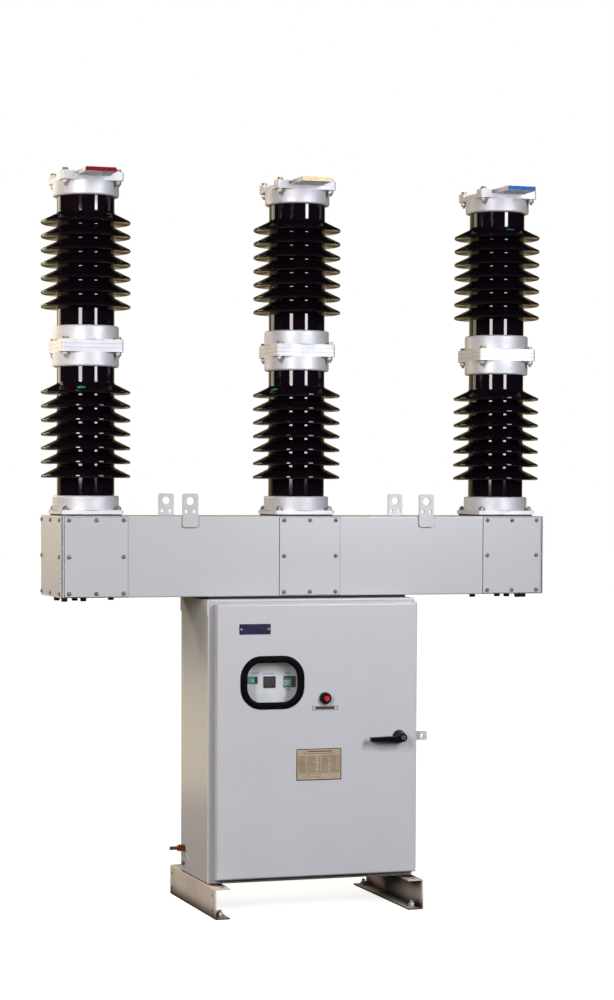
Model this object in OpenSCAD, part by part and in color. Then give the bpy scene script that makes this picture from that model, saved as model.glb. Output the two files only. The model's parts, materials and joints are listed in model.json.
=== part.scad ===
// Outdoor three-pole vacuum circuit breaker: porcelain poles on a sheet-steel beam,
// with the operating mechanism in a cabinet below that stands on two channels.
// X runs along the row of poles, the door faces -Y, Z = 0 is the floor.

/* [Poles] */
// Distance between neighbouring pole axes
phase_spacing = 700; // [600:10:900]
// Radius of the porcelain between the sheds
core_r = 90.5; // [80:0.5:100]
// Radius over the tips of the sheds
shed_r = 141.5; // [130:0.5:160]
// Number of sheds on one insulator
shed_count = 7; // [5:1:8]
// Height from one shed to the next
shed_pitch = 44; // [42:1:50]
// Height of the lowest shed tip over the metal fitting below it
first_shed = 61; // [50:1:70]
// Visible porcelain above the uppermost shed tip
top_porcelain = 79; // [60:1:90]
// Radius of the rounded shed tip
tip_r = 5; // [3:0.5:6]
// Slope of the upper side of a shed in degrees
shed_slope = 26; // [12:1:30]
// Radius of the fillet between shed and core
shed_fillet = 8; // [6:1:18]
// Radius of the round metal collars
collar_r = 104.5; // [100:0.5:125]
// Height of the round metal collars
collar_h = 45; // [30:1:70]
// Radius of the rounded free edge of a collar
collar_edge = 6; // [2:0.5:8]
// Side of the square flanges
flange_w = 198; // [180:1:240]
// Thickness of the square flanges
flange_t = 13; // [8:1:20]
// Corner radius of the square flanges
flange_corner = 7; // [4:1:20]
// Thickness of the gasket under each pole
pole_gasket_t = 5; // [3:1:8]

/* [Terminals] */
// Thickness of the terminal plates between the insulators
terminal_t = 13; // [10:1:20]
// Thickness of the terminal castings on top of the poles
casting_t = 14; // [10:1:20]
// Thickness of the web between the bosses of a casting
casting_web = 5; // [3:0.5:8]
// Side of the square bosses at the corners of a casting
boss_w = 43; // [34:1:46]
// Width of the terminal pads
pad_w = 98; // [80:1:120]
// Distance from the pole axis to the end of a pad
pad_reach = 205; // [190:1:260]
// Spacing of the four connector holes in a pad
pad_pitch = 50; // [40:1:60]
// Radius of the connector holes
pad_hole_r = 7; // [5:0.5:9]

/* [Beam] */
// Length of the beam beyond the axis of each outer pole
beam_over = 113; // [104:1:200]
// Depth of the beam from front to back
beam_d = 284; // [240:2:340]
// Height of the beam
beam_h = 255; // [220:1:300]
// Radius of the folded long edges
beam_edge = 4; // [2:0.5:10]
// Thickness of the cover plates
cover_t = 3; // [2:0.5:5]
// Width of a front cover
cover_w = 202; // [180:1:240]
// Height of a front cover
cover_h = 248; // [200:1:300]
// Thickness of the gaskets behind the end covers
end_gasket_t = 3; // [2:0.5:5]

/* [Lifting lugs] */
// Distance of a lug from the middle of the beam
lug_x = 397.5; // [300:0.5:450]
// Width of a lug
lug_w = 50; // [40:1:70]
// Thickness of a lug
lug_t = 8; // [5:1:12]
// Height of a lug above the top of the beam
lug_up = 71; // [60:1:100]
// Length of a lug below the top of the beam
lug_down = 35; // [20:1:60]
// Radius of a lug's corners
lug_corner = 8; // [3:1:20]
// Radius of the lifting eye
lug_eye_r = 13; // [10:0.5:18]
// Distance of the eye's centre below the top of a lug
lug_eye_drop = 23.5; // [20:0.5:30]
// Radius of the two small holes in a lug
lug_hole_r = 6; // [4:0.5:8]

/* [Cabinet] */
// Width of the cabinet body
cab_w = 692; // [600:2:800]
// Depth of the cabinet body
cab_d = 312; // [260:2:400]
// Distance from the pole axes to the front of the cabinet body
cab_front = 170; // [150:1:220]
// Height of the cabinet from floor plate to roof
cab_h = 902; // [800:1:1000]
// Sheet thickness of the cabinet
sheet = 3; // [2:0.5:4]
// Width of the folded strips beside the door opening
front_strip = 45; // [40:1:60]
// Depth of the roof's skirt at the sides and back
roof_skirt = 50; // [20:1:70]
// Width of the roof's folded returns at the front corners
roof_return = 7; // [5:0.5:12]
// Radius of the roof's folded edges
roof_edge = 4; // [3.5:0.5:8]
// Height of the joint between roof and beam
roof_gap = 8; // [4:1:20]
// Width of the cable opening in the floor
gland_w = 220; // [120:2:300]
// Depth of the cable opening in the floor
gland_d = 120; // [80:2:160]
// Overlap of the gland plate around the opening
gland_lap = 15; // [10:1:25]
// Room on each side of the mechanism housing
mech_side = 66; // [60:1:120]
// Depth of the mechanism housing below the window's centre
mech_drop = 150; // [110:1:200]

/* [Base channels] */
// Height of the channels
channel_h = 98; // [80:1:120]
// Width of the channel flanges
channel_w = 50; // [40:1:60]
// Wall thickness of the channels
channel_t = 5; // [4:0.5:8]
// Length of the channels
channel_len = 530; // [460:2:640]
// How far a channel's web stands outside the cabinet's side
channel_out = 3; // [0:1:20]
// Front-to-back distance of the anchor holes
anchor_y = 460; // [360:2:480]
// Distance of the anchor holes from the outside of the web
anchor_in = 27; // [22:1:34]
// Radius of the anchor holes
anchor_r = 7; // [5:0.5:9]
// Radius of the holes in the webs
web_hole_r = 5; // [3:0.5:7]
// Distance of the web holes from the ends of a channel
web_hole_end = 26; // [16:1:40]
// Height between the two holes of a pair in the web
web_hole_pitch = 50; // [30:1:60]
// Radius of the holes in the top flanges
top_hole_r = 9; // [6:0.5:11]
// Distance of the top flange holes from the ends of a channel
top_hole_end = 20; // [16:1:40]

/* [Door] */
// Height left free below and above the door
door_reveal = 12.5; // [10:0.5:30]
// Inset of the door's left edge from the cabinet's left side
door_inset = 20; // [10:1:23]
// Depth of the folded door
door_d = 31; // [20:1:40]
// Gap between the cabinet body and the back of the door
door_gap = 7; // [6:0.5:10]
// Radius of the door's folded edges
door_edge = 7; // [4:0.5:10]
// Distance of the hinge axis from the door's left edge
hinge_in = 8; // [7.5:0.1:9]
// Distance of the hinge axis in front of the door's back edge
hinge_fore = 12; // [11:0.1:13]
// Radius of the hinge knuckles
knuckle_r = 4.5; // [3.5:0.1:4.5]
// Length of one hinge
hinge_len = 90; // [60:2:140]
// Distance of the outer hinges from the door's ends
hinge_end = 120; // [80:1:200]

/* [Window] */
// Height of the window's centre above the floor
window_z = 737; // [650:1:800]
// Distance of the window's centre to the left of the middle
window_x = 144; // [100:1:180]
// Width of the glass that shows
window_w = 168; // [120:1:200]
// Height of the glass that shows
window_h = 126; // [90:1:150]
// Corner radius of the glass that shows
window_r = 48; // [20:1:55]
// Width of the rubber around the glass
window_rubber = 22; // [14:1:26]

/* [Controls] */
// Distance of the push button to the right of the middle
button_x = 32; // [20:1:80]
// Height of the push button above the floor
button_z = 684; // [600:1:760]
// Radius of the red button
button_r = 9; // [8:0.5:14]
// Travel of the button
button_travel = 5; // [3:0.5:6]
// Distance of the handle's axis to the right of the middle
handle_x = 284; // [240:1:300]
// Height of the handle's axis above the floor
handle_z = 554.5; // [450:0.5:650]
// Length of the lever from its axis to its tip
lever_len = 108; // [80:1:140]
// Distance of the lever's centre line below the axis
lever_drop = 4.5; // [0:0.5:6]
// Distance from the door to the front of the lever
lever_out = 44; // [36:1:56]
// How far the padlock tabs stand out at the right
hasp_out = 43; // [34:1:50]
// Height of the padlock tabs
hasp_h = 27; // [24:1:40]
// Distance of the padlock hole from the outer end of a tab
hasp_hole_in = 15; // [12:1:18]
// Radius of the padlock hole
hasp_hole_r = 6; // [4:0.5:7]
// Radius of the wider hole in the cabinet's tab, which lets the shackle swing in
hasp_slot_r = 9; // [6:0.5:10]
// Corner radius of the padlock tabs
hasp_corner = 2; // [1:0.5:6]

/* [Plates] */
// Width of the nameplate
name_w = 103; // [80:1:140]
// Height of the nameplate
name_h = 33; // [20:1:50]
// Distance of the nameplate's centre from the door's left edge
name_in = 123.5; // [80:0.5:200]
// Distance of the nameplate's centre below the door's top
name_drop = 80.5; // [40:0.5:120]
// Width of the rating plate
rating_w = 151; // [100:1:200]
// Height of the rating plate
rating_h = 101; // [80:1:150]
// Distance of the rating plate's centre to the right of the middle
rating_x = 12; // [-40:1:60]
// Height of the rating plate's centre above the floor
rating_z = 473; // [400:1:540]
// Width of the label below the push button
label_w = 86; // [50:1:110]
// Height of the label below the push button
label_h = 14; // [10:1:24]
// Distance of the label's centre below the push button
label_drop = 31; // [28:1:45]

/* [Hidden] */
$fn = 64;
eps = 1;

// heights
floor_z = channel_h;
cab_z0 = floor_z + sheet;
roof_z = floor_z + cab_h;
beam_z = roof_z + roof_gap;
beam_top = beam_z + beam_h;
pole_z = beam_top + pole_gasket_t;
porcelain_h = first_shed + (shed_count - 1) * shed_pitch + top_porcelain;
low_z0 = pole_z + flange_t;
low_p0 = low_z0 + collar_h;
low_p1 = low_p0 + porcelain_h;
mid_z0 = low_p1 + collar_h;
mid_plate_z = mid_z0 + flange_t;
mid_z1 = mid_plate_z + terminal_t;
up_z0 = mid_z1 + flange_t;
up_p0 = up_z0 + collar_h;
up_p1 = up_p0 + porcelain_h;
top_z0 = up_p1 + collar_h;
top_plate_z = top_z0 + flange_t;
top_z = top_plate_z + casting_t;
socket_gap = 0.3;
beam_len = 2 * (phase_spacing + beam_over);

// cabinet and door in plan
body_f = -cab_front;
body_b = cab_d - cab_front;
half_w = cab_w / 2;
lap = sheet;
door_l = -half_w + door_inset;
door_r = half_w;
door_z0 = cab_z0 + door_reveal;
door_h = roof_z - cab_z0 - 2 * door_reveal;
door_top = door_z0 + door_h;
door_back = body_f - door_gap;
door_f = door_back - door_d;
door_skin = 2;
hinge_x = door_l + hinge_in;
hinge_y = door_back - hinge_fore;
pin_r = 2.5;
pin_clear = 0.06;
hinge_zs = [door_z0 + hinge_end, door_z0 + door_h / 2, door_top - hinge_end];

module at_poles() {
  for (i = [-1, 0, 1]) translate([i * phase_spacing, 0, 0]) children();
}

module round_rect(w, h, r) {
  union() {
    square([w - 2 * r, h], center = true);
    square([w, h - 2 * r], center = true);
    for (x = [-1, 1], y = [-1, 1])
      translate([x * (w / 2 - r), y * (h / 2 - r)]) circle(r = r);
  }
}

module box(x0, x1, y0, y1, z0, z1) {
  translate([x0, y0, z0]) cube([x1 - x0, y1 - y0, z1 - z0]);
}

// a plate that stands upright and faces the front, drawn around its centre
module front_plate(x, z, y0, y1) {
  translate([x, y1, z]) rotate([90, 0, 0]) linear_extrude(y1 - y0) children();
}

// ---------- base channels ----------
module channel_profile() {
  difference() {
    union() {
      translate([0, channel_t]) square([channel_w, channel_h - 2 * channel_t]);
      translate([channel_t, 0]) square([channel_w - channel_t, channel_h]);
      for (z = [channel_t, channel_h - channel_t])
        translate([channel_t, z]) circle(r = channel_t);
    }
    translate([channel_t, channel_t]) square([channel_w, channel_h - 2 * channel_t]);
  }
}

module base_channel() {
  difference() {
    translate([-half_w - channel_out, channel_len / 2, 0]) rotate([90, 0, 0])
      linear_extrude(channel_len) channel_profile();
    for (y = [-1, 1]) {
      translate([-half_w - channel_out + anchor_in, y * anchor_y / 2, -eps])
        cylinder(r = anchor_r, h = channel_t + 2 * eps);
      translate([-half_w - channel_out + anchor_in, y * (channel_len / 2 - top_hole_end),
        channel_h - channel_t - eps]) cylinder(r = top_hole_r, h = channel_t + 2 * eps);
      for (z = [-1, 1])
        translate([-half_w - channel_out - eps, y * (channel_len / 2 - web_hole_end),
          channel_h / 2 + z * web_hole_pitch / 2])
          rotate([0, 90, 0]) cylinder(r = web_hole_r, h = channel_t + 2 * eps);
    }
  }
}

module left_base_channel() { color("#c9c3b8") base_channel(); }
module right_base_channel() { color("#c9c3b8") mirror([1, 0, 0]) base_channel(); }

// ---------- cabinet ----------
module cabinet_floor() {
  color("#b9b9bd") difference() {
    box(-half_w + 2, half_w - 2, body_f + 2, body_b - 2, floor_z, cab_z0);
    box(-gland_w / 2, gland_w / 2, -gland_d / 2, gland_d / 2, floor_z - eps, cab_z0 + eps);
  }
}

module gland_plate() {
  w = gland_w / 2 + gland_lap;
  d = gland_d / 2 + gland_lap;
  color("#b0b0b4") box(-w, w, -d, d, cab_z0, cab_z0 + sheet);
}

module cabinet_side() {
  top = roof_z - sheet;
  color("#c1c1c6") union() {
    box(-half_w, -half_w + sheet, body_f, body_b, cab_z0, top);
    box(-half_w, -half_w + front_strip, body_f, body_f + sheet, cab_z0, top);
  }
}

module cabinet_left_side() { cabinet_side(); }
module cabinet_right_side() { mirror([1, 0, 0]) cabinet_side(); }

module cabinet_back() {
  color("#c1c1c6")
    box(-half_w + sheet, half_w - sheet, body_b - sheet, body_b, cab_z0, roof_z - sheet);
}

// folded rails above and below the door opening
rail_top = 60;
rail_bottom = 34;
module door_frame_top() {
  w = half_w - front_strip;
  color("#c1c1c6") union() {
    box(-w, w, body_f, body_f + sheet, roof_z - rail_top, roof_z - sheet);
    box(-w, w, body_f, body_f + 10, roof_z - rail_top, roof_z - rail_top + sheet);
  }
}

module door_frame_bottom() {
  w = half_w - front_strip;
  z1 = cab_z0 + rail_bottom;
  color("#c1c1c6") union() {
    box(-w, w, body_f, body_f + sheet, cab_z0, z1);
    box(-w, w, body_f, body_f + 20, z1 - sheet, z1);
  }
}

// one edge view of the roof, open below, with both upper corners rounded
module roof_side(a0, a1) {
  r = roof_edge;
  z0 = roof_z - roof_skirt;
  union() {
    translate([a0, z0]) square([a1 - a0, roof_skirt - r]);
    translate([a0 + r, z0]) square([a1 - a0 - 2 * r, roof_skirt]);
    for (a = [a0 + r, a1 - r]) translate([a, roof_z - r]) circle(r = r);
  }
}

module cabinet_roof() {
  o = half_w + lap;
  f = body_f - lap;
  b = body_b + lap;
  color("#c1c1c6") difference() {
    intersection() {
      translate([0, b, 0]) rotate([90, 0, 0]) linear_extrude(b - f) roof_side(-o, o);
      translate([-o, 0, 0]) rotate([90, 0, 90]) linear_extrude(2 * o) roof_side(f, b);
    }
    box(-half_w, half_w, body_f, body_b, roof_z - roof_skirt - eps, roof_z - sheet);
    box(-o + roof_return, o - roof_return, f - eps, body_f, roof_z - roof_skirt - eps, door_top + 5);
  }
}

module roof_spacer() {
  color("#3c3c40") box(-half_w + 14, half_w - 14, -beam_d / 2 + 12, beam_d / 2 - 12, roof_z, beam_z);
}

// ---------- operating mechanism behind the window ----------
mech_f = body_f + 12;
mech_plate_t = 3;
mech_z0 = window_z - mech_drop;
mech_w = cab_w - 2 * mech_side;
mech_plate_top = roof_z - 70;

module mechanism_housing() {
  color("#b8c0c4") box(-mech_w / 2, mech_w / 2, mech_f + mech_plate_t, body_b - 30,
    mech_z0, roof_z - sheet);
}

module mechanism_plate() {
  color("#cfd6d8") difference() {
    front_plate(0, (mech_z0 + mech_plate_top) / 2, mech_f, mech_f + mech_plate_t)
      round_rect(mech_w + 20, mech_plate_top - mech_z0, 8);
  }
}

// three framed indicators on the plate: charged, counter, open and closed
ind_x = [-52, 5, 72];
ind_w = [34, 40, 40];
ind_h = [22, 37, 36];
module indicators() {
  color("#20241f") for (i = [0, 1, 2])
    front_plate(-window_x + ind_x[i], window_z - 1 + (i == 0 ? 6 : -1), mech_f - 3, mech_f)
      round_rect(ind_w[i], ind_h[i], 2);
}

// ---------- hinges inside the door's fold, with arms that reach around its edge ----------
arm_t = 4;
arm_reach = front_strip - half_w - hinge_x;
hinge_k = hinge_len / 3;

// plan of one arm: knuckle, bow in front of the door's edge, foot behind the cabinet's strip
module arm_plan() {
  rm = (arm_reach + arm_t / 2) / 2;
  ro = rm + arm_t / 2;
  foot_y = body_f + sheet - hinge_y;
  union() {
    circle(r = knuckle_r);
    difference() {
      translate([rm, 0]) circle(r = ro);
      translate([rm, 0]) circle(r = ro - arm_t);
      translate([-ro, 0]) square([4 * ro, 2 * ro]);
    }
    translate([arm_reach, 0]) square([arm_t, foot_y + arm_t]);
    translate([arm_reach + arm_t - 42, foot_y]) square([42, arm_t]);
  }
}

module hinge_body_leaves() {
  color("#8f8f94") for (z = hinge_zs) translate([hinge_x, hinge_y, z]) union() {
    translate([0, 0, -hinge_k / 2]) linear_extrude(hinge_k) arm_plan();
    translate([0, 0, -hinge_len / 2]) cylinder(r = pin_r, h = hinge_len);
  }
}

module hinge_door_leaves() {
  wall = hinge_in - door_skin;
  k = hinge_k - 0.5;
  color("#8f8f94") for (z = hinge_zs, s = [-1, 1])
    translate([hinge_x, hinge_y, z + s * (hinge_len - k) / 2 - k / 2]) difference() {
      linear_extrude(k) union() {
        circle(r = knuckle_r);
        translate([-wall, -knuckle_r]) square([wall, 2 * knuckle_r]);
        translate([-wall, -hinge_fore]) square([door_skin, 2 * hinge_fore - 3]);
      }
      translate([0, 0, -eps]) cylinder(r = pin_r + pin_clear, h = k + 2 * eps);
    }
}

// ---------- door ----------
module door_solid(inset) {
  w = door_r - door_l - 2 * inset;
  h = door_h - 2 * inset;
  cx = (door_l + door_r) / 2;
  cz = door_z0 + door_h / 2;
  r = door_edge - inset;
  d = door_d - inset;
  intersection() {
    translate([cx, 0, cz - h / 2]) linear_extrude(h) door_plan(w, r, d, inset);
    translate([cx - w / 2, 0, cz]) rotate([90, 0, 90]) linear_extrude(w)
      rotate(0) door_side(h, r, d, inset);
  }
}

module door_plan(w, r, d, inset) {
  over = inset > 0 ? eps : 0;
  translate([0, door_f + inset]) union() {
    translate([-w / 2, r]) square([w, d - r + over]);
    translate([-w / 2 + r, 0]) square([w - 2 * r, d + over]);
    for (s = [-1, 1]) translate([s * (w / 2 - r), r]) circle(r = r);
  }
}

module door_side(h, r, d, inset) {
  over = inset > 0 ? eps : 0;
  translate([door_f + inset, 0]) union() {
    translate([r, -h / 2]) square([d - r + over, h]);
    translate([0, -h / 2 + r]) square([d + over, h - 2 * r]);
    for (s = [-1, 1]) translate([r, s * (h / 2 - r)]) circle(r = r);
  }
}

module door() {
  color("#c1c1c6") difference() {
    door_solid(0);
    door_solid(door_skin);
    front_plate(-window_x, window_z, door_f - eps, door_f + door_skin + eps)
      round_rect(window_w + 14, window_h + 14, window_r + 7);
    translate([button_x, door_f - eps, button_z]) rotate([-90, 0, 0])
      cylinder(r = bezel_stem_r + socket_gap, h = door_skin + 2 * eps);
    translate([handle_x, door_f - eps, handle_z]) rotate([-90, 0, 0])
      cylinder(r = shaft_r + 1, h = door_skin + 2 * eps);
  }
}

// rubber section that grips the door's cut-out and carries the glass
module window_gasket() {
  ow = window_w + 2 * window_rubber;
  oh = window_h + 2 * window_rubber;
  color("#17171a") difference() {
    union() {
      front_plate(-window_x, window_z, door_f - 7, door_f)
        round_rect(ow, oh, window_r + window_rubber);
      front_plate(-window_x, window_z, door_f, door_f + door_skin)
        round_rect(window_w + 14, window_h + 14, window_r + 7);
      front_plate(-window_x, window_z, door_f + door_skin, door_f + door_skin + 6)
        round_rect(window_w + 30, window_h + 30, window_r + 15);
    }
    front_plate(-window_x, window_z, door_f - 7 - eps, door_f + door_skin + 6 + eps)
      round_rect(window_w, window_h, window_r);
    front_plate(-window_x, window_z, door_f - 1, door_f + 3)
      round_rect(window_w + 8, window_h + 8, window_r + 4);
  }
}

module window_pane() {
  color("#dfeaf0", 0.35) front_plate(-window_x, window_z, door_f - 1, door_f + 3)
    round_rect(window_w + 8, window_h + 8, window_r + 4);
}

module nameplate() {
  color("#27305c") front_plate(door_l + name_in, door_top - name_drop, door_f - 1.2, door_f)
    round_rect(name_w, name_h, 2);
}

module rating_plate() {
  color("#b9b2a4") front_plate(rating_x, rating_z, door_f - 1.2, door_f)
    round_rect(rating_w, rating_h, 3);
}

module button_label() {
  color("#d9d9dc") front_plate(button_x, button_z - label_drop, door_f - 1.2, door_f)
    round_rect(label_w, label_h, 1.5);
}

bezel_r = 19.5;
bezel_stem_r = 15;
bezel_h = 16;
module button_bezel() {
  color("#1b1b1e") translate([button_x, door_f, button_z]) rotate([90, 0, 0]) difference() {
    union() {
      rotate_extrude() polygon([[0, 0], [bezel_r, 0], [bezel_r, 6], [bezel_r - 2.5, bezel_h],
        [0, bezel_h]]);
      translate([0, 0, -door_skin - 10]) cylinder(r = bezel_stem_r, h = door_skin + 10);
      translate([0, 0, -door_skin - 5]) cylinder(r = bezel_stem_r + 4, h = 5);
    }
    translate([0, 0, -door_skin - 10 - eps])
      cylinder(r = button_r + 0.1, h = bezel_h + door_skin + 10 + 2 * eps);
  }
}

module trip_button() {
  len = bezel_h + door_skin + 10;
  color("#c02626") translate([button_x, door_f, button_z]) rotate([90, 0, 0])
    rotate_extrude() polygon([[0, -door_skin - 14], [button_r, -door_skin - 14],
      [button_r, bezel_h + button_travel + 1.5], [button_r - 1.5, bezel_h + button_travel + 3],
      [0, bezel_h + button_travel + 3]]);
}

// ---------- tabs for a padlock on the right side ----------
tab_t = 4;
tab_gap = 9;
door_tab_y = door_back - 4;
cab_tab_y = door_tab_y + tab_gap + tab_t;
hasp_z = handle_z - 2.5;
module hasp_shape(hole_r) {
  difference() {
    union() {
      translate([0, -hasp_h / 2]) square([hasp_out - hasp_corner, hasp_h]);
      translate([0, -hasp_h / 2 + hasp_corner]) square([hasp_out, hasp_h - 2 * hasp_corner]);
      for (s = [-1, 1]) translate([hasp_out - hasp_corner, s * (hasp_h / 2 - hasp_corner)])
        circle(r = hasp_corner);
    }
    translate([hasp_out - hasp_hole_in, 0]) circle(r = hole_r);
  }
}

// bent from one strip: tab in front, foot along the cabinet's side
module cabinet_hasp() {
  color("#c1c1c6") union() {
    translate([half_w, cab_tab_y, hasp_z]) rotate([90, 0, 0]) linear_extrude(tab_t)
      hasp_shape(hasp_slot_r);
    box(half_w, half_w + tab_t, cab_tab_y - tab_t, body_f + 34, hasp_z - hasp_h / 2,
      hasp_z + hasp_h / 2);
  }
}

module door_hasp() {
  color("#c1c1c6") translate([door_r, door_tab_y, hasp_z]) rotate([90, 0, 0])
    linear_extrude(tab_t) hasp_shape(hasp_hole_r);
}

// ---------- swing handle ----------
shaft_r = 8;
base_r = 21.5;
hub_r = 17;
hub_top_r = 12.5;
hub_h = 22;
lock_r = 8;
lever_y = door_f - lever_out + hub_h;
module handle_base() {
  h = lever_out - hub_h;
  color("#1b1b1e") translate([handle_x, door_f, handle_z]) rotate([90, 0, 0]) difference() {
    rotate_extrude() polygon([[0, 0], [base_r, 0], [base_r, 4], [base_r - 2, 6], [hub_r, h],
      [0, h]]);
    translate([0, 0, -eps]) cylinder(r = shaft_r + 0.1, h = lever_out);
  }
}

// tapered lever with a rounded end, below the middle of its hub
module lever_shape() {
  r0 = 9.8;
  r1 = 7.2;
  c = 2;
  xe = c - lever_len;
  union() {
    polygon([[0, -lever_drop - r0], [0, -lever_drop + r0], [xe, -lever_drop + r1],
      [xe, -lever_drop - r1]]);
    translate([-lever_len, -lever_drop - r1 + c]) square([c, 2 * (r1 - c)]);
    for (s = [-1, 1]) translate([xe, -lever_drop + s * (r1 - c)]) circle(r = c);
  }
}

module handle_lever() {
  y1 = lever_y - 0.3;
  h = hub_h - 0.3;
  color("#1b1b1e") union() {
    translate([handle_x, y1, handle_z]) rotate([90, 0, 0]) difference() {
      union() {
        rotate_extrude() polygon([[0, 0], [hub_r, 0], [hub_top_r + 0.8, h - 1.5],
          [hub_top_r - 1, h], [0, h]]);
        translate([0, 0, 3]) linear_extrude(15) lever_shape();
      }
      translate([0, 0, h - 6]) cylinder(r = lock_r, h = 6 + eps);
    }
    translate([handle_x, y1, handle_z]) rotate([-90, 0, 0])
      cylinder(r = shaft_r, h = door_f + door_skin + 12 - y1);
    box(handle_x - 9, handle_x + 30, door_f + door_skin + 8, door_f + door_skin + 12,
      handle_z - 9, handle_z + 9);
  }
}

// lock cylinder with a triangular drive in its end
module handle_lock() {
  color("#6f6f74") translate([handle_x, lever_y - hub_h + 6, handle_z]) rotate([90, 0, 0])
    difference() {
      cylinder(r = lock_r, h = 6.5);
      translate([0, 0, 3]) cylinder(r = 4.5, h = 4, $fn = 3);
    }
}

// ---------- earth stud ----------
module earth_stud() {
  color("#b87848") translate([-half_w, 96, 178]) rotate([0, -90, 0]) cylinder(r = 6, h = 50);
}

// ---------- beam ----------
module beam() {
  l = beam_len - 2 * (cover_t + end_gasket_t);
  color("#c4c4c8") translate([-l / 2, 0, beam_z + beam_h / 2]) rotate([90, 0, 90])
    linear_extrude(l) round_rect(beam_d, beam_h, beam_edge);
}

module beam_front_covers() {
  color("#c4c4c8") at_poles()
    front_plate(0, beam_z + beam_h / 2, -beam_d / 2 - cover_t, -beam_d / 2)
      round_rect(cover_w, cover_h, 3);
}

module end_plate(x0, t, inset) {
  translate([x0, 0, beam_z + beam_h / 2]) rotate([90, 0, 90]) linear_extrude(t)
    round_rect(beam_d - 2 * inset, beam_h - 2 * inset, beam_edge);
}

module beam_end_covers() {
  color("#c4c4c8") for (s = [-1, 1])
    end_plate(s < 0 ? -beam_len / 2 : beam_len / 2 - cover_t, cover_t, 0);
}

module beam_end_gaskets() {
  color("#2a2a2d") for (s = [-1, 1])
    end_plate(s < 0 ? -beam_len / 2 + cover_t : beam_len / 2 - cover_t - end_gasket_t,
      end_gasket_t, 1);
}

module lug_shape() {
  difference() {
    translate([0, (lug_up - lug_down) / 2]) round_rect(lug_w, lug_up + lug_down, lug_corner);
    translate([0, lug_up - lug_eye_drop]) circle(r = lug_eye_r);
    for (s = [-1, 1]) translate([s * 13, 14]) circle(r = lug_hole_r);
  }
}

module lifting_lugs() {
  color("#c4c4c8") for (x = [-1, 1], y = [-1, 1])
    translate([x * lug_x, y < 0 ? -beam_d / 2 : beam_d / 2 + lug_t, beam_top])
      rotate([90, 0, 0]) linear_extrude(lug_t) lug_shape();
}

// ---------- poles ----------
module pole_gaskets() {
  color("#2b2422") at_poles() translate([0, 0, beam_top]) linear_extrude(pole_gasket_t)
    round_rect(flange_w - 8, flange_w - 8, flange_corner);
}

// square flange with a round collar that holds the end of the porcelain
module fitting(up) {
  r0 = core_r + socket_gap;
  translate([0, 0, up ? 0 : -flange_t]) linear_extrude(flange_t)
    round_rect(flange_w, flange_w, flange_corner);
  rotate([up ? 0 : 180, 0, 0]) translate([0, 0, flange_t])
    rotate_extrude() union() {
      translate([r0, 0]) square([collar_r - r0, collar_h - collar_edge]);
      translate([r0, 0]) square([collar_r - collar_edge - r0, collar_h]);
      translate([collar_r - collar_edge, collar_h - collar_edge]) circle(r = collar_edge);
    }
}

module base_fittings() {
  color("#d0d0dc") at_poles() translate([0, 0, pole_z]) union() fitting(true);
}
module middle_lower_fittings() {
  color("#d0d0dc") at_poles() translate([0, 0, mid_plate_z]) union() fitting(false);
}
module middle_upper_fittings() {
  color("#d0d0dc") at_poles() translate([0, 0, mid_z1]) union() fitting(true);
}
module top_fittings() {
  color("#d0d0dc") at_poles() translate([0, 0, top_plate_z]) union() fitting(false);
}

// one shed, from its underside over the tip to the fillet on the core
function shed_points(z) = let (
    a = shed_slope,
    rt = shed_r - tip_r,
    sx = rt + tip_r * sin(a),
    sz = z + tip_r * cos(a),
    fc_r = core_r + shed_fillet,
    fc_z = sz + (sx - fc_r) * tan(a) + shed_fillet / cos(a)
  ) concat(
    [[core_r, z - tip_r + 9], [core_r + 1.5, z - tip_r + 6], [core_r + 5, z - tip_r + 4.2]],
    [for (t = [-90 : 30 : 90 - a - 1]) [rt + tip_r * cos(t), z + tip_r * sin(t)]],
    [[sx, sz]],
    [for (t = [270 - a : -22 : 190]) [fc_r + shed_fillet * cos(t), fc_z + shed_fillet * sin(t)]],
    [[core_r, fc_z]]
  );

module insulator(z0) {
  pts = concat([[0, -collar_h], [core_r, -collar_h]],
    [for (i = [0 : shed_count - 1]) each shed_points(first_shed + i * shed_pitch)],
    [[core_r, porcelain_h + collar_h], [0, porcelain_h + collar_h]]);
  translate([0, 0, z0]) rotate_extrude() polygon(pts);
}

module lower_insulators() { color("#1c0f0e") at_poles() insulator(low_p0); }
module upper_insulators() { color("#1c0f0e") at_poles() insulator(up_p0); }

module pad_holes(dir, t) {
  for (x = [-1, 1], y = [-1, 1])
    translate([x * pad_pitch / 2, dir * (pad_reach - 50) + y * pad_pitch / 2, -eps])
      cylinder(r = pad_hole_r, h = t + 2 * eps);
}

// plate between two insulators, with a pad that reaches out to the back
module middle_terminals() {
  color("#d0d0dc") at_poles() translate([0, 0, mid_plate_z]) difference() {
    linear_extrude(terminal_t) union() {
      round_rect(flange_w, flange_w, flange_corner);
      translate([0, pad_reach / 2]) round_rect(pad_w, pad_reach, 5);
    }
    pad_holes(1, terminal_t);
  }
}

// casting with four bosses for the flange bolts and a pad that reaches out to the front
module top_terminals() {
  back = flange_w / 2 - 10;
  color("#d0d0dc") at_poles() translate([0, 0, top_plate_z]) difference() {
    union() {
      linear_extrude(casting_web) round_rect(flange_w - 20, flange_w - 20, flange_corner);
      linear_extrude(casting_t) translate([0, (back - pad_reach) / 2])
        round_rect(pad_w, pad_reach + back, 5);
      linear_extrude(casting_t) for (x = [-1, 1], y = [-1, 1])
        translate([x * (flange_w - boss_w) / 2, y * (flange_w - boss_w) / 2])
          round_rect(boss_w, boss_w, flange_corner);
    }
    pad_holes(-1, casting_t);
  }
}

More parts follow.
